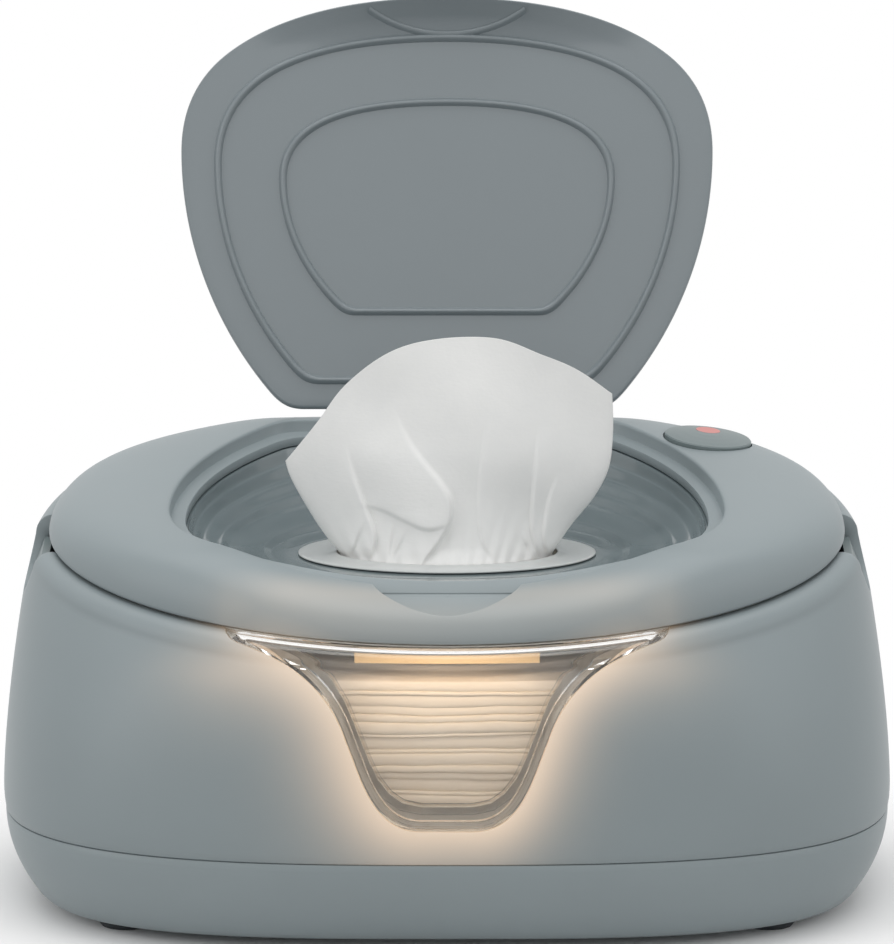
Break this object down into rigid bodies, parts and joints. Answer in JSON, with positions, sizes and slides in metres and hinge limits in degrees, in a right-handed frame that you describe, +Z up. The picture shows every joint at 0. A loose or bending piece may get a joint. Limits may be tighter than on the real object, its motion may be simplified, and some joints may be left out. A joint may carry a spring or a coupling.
{
  "type": "baby wipe warmer",
  "caption": "oval heated wipe dispenser with a clear funnel-shaped front window, a flip lid over a glossy dish with a pulled wipe, a round power button and side release buttons",
  "frame": {"origin": "on the table under the middle of the housing, the plane that the feet stand on", "axes": "+X along the width, to the right as seen from the front; +Y to the back, where the hinges are; +Z up"},
  "size_m": [0.2458, 0.1823, 0.2356],
  "materials": {
    "housing": "moulded, fine matt",
    "window": "clear moulded plastic",
    "seal": "soft matt",
    "bin": "smooth",
    "aluminium": "rolled sheet",
    "heater": "silicone sheet",
    "insulation": "open foam",
    "steel": "plated",
    "board": "coated board",
    "lead": "insulated wire",
    "feet": "matt rubber",
    "dish": "polished",
    "button": "matt",
    "lens": "lit red lens",
    "light_guide": "diffusing",
    "wipe": "moist nonwoven"
  },
  "bodies": {
    "housing": {"base_shell": "housing", "body_shell": "housing", "window": "window", "window_seal": "seal", "wipe_bin": "bin", "heat_spreader": "aluminium", "heater_pad": "heater", "insulation_pad": "insulation", "thermostat": "steel", "thermal_fuse": "steel", "main_circuit_board": "board", "power_socket": "lead", "socket_leads": "lead", "heater_leads": "lead", "cover_lead_lower": "lead", "rubber_feet": "feet", "base_screws": "steel", "cover_hinge_pins": "steel", "release_springs_left": "steel", "release_springs_right": "steel", "wipe_stack": "wipe"},
    "cover": {"cover_shell": "housing", "dispenser_dish": "dish", "orifice_seal": "seal", "cover_liner": "bin", "cover_gasket": "seal", "liner_screws": "steel", "button_board": "board", "night_light_board": "board", "light_guide": "light_guide", "cover_lead_upper": "lead", "lid_hinge_pin": "steel", "wipe_sheet": "wipe"},
    "lid": {"flip_lid": "housing"},
    "power_button": {"power_button": "button", "button_lens": "lens"},
    "release_left": {"release_button_left": "button"},
    "release_right": {"release_button_right": "button"}
  },
  "joints": [
    {"name": "cover_hinge", "type": "hinge", "parent": "housing", "child": "cover", "pos_m": [0, 0.085, 0.1095], "axis": [-1, 0, 0], "range_deg": [0, 80]},
    {"name": "lid_hinge", "type": "hinge", "parent": "cover", "child": "lid", "pos_m": [0, 0.0625, 0.1173], "axis": [1, 0, 0], "range_deg": [0, 114], "deforming": ["wipe_sheet"]},
    {"name": "power_button_press", "type": "slide", "parent": "cover", "child": "power_button", "axis": [-0.1062, 0.0295, -0.9939], "range_m": [0, 0.0006], "stiffness_N_per_m": 1200, "springref_m": -0.0003},
    {"name": "release_left_press", "type": "slide", "parent": "housing", "child": "release_left", "axis": [1, 0, 0], "range_m": [0, 0.0022], "stiffness_N_per_m": 900, "springref_m": -0.0008, "deforming": ["release_springs_left"]},
    {"name": "release_right_press", "type": "slide", "parent": "housing", "child": "release_right", "axis": [-1, 0, 0], "range_m": [0, 0.0022], "stiffness_N_per_m": 900, "springref_m": -0.0008, "deforming": ["release_springs_right"]}
  ]
}
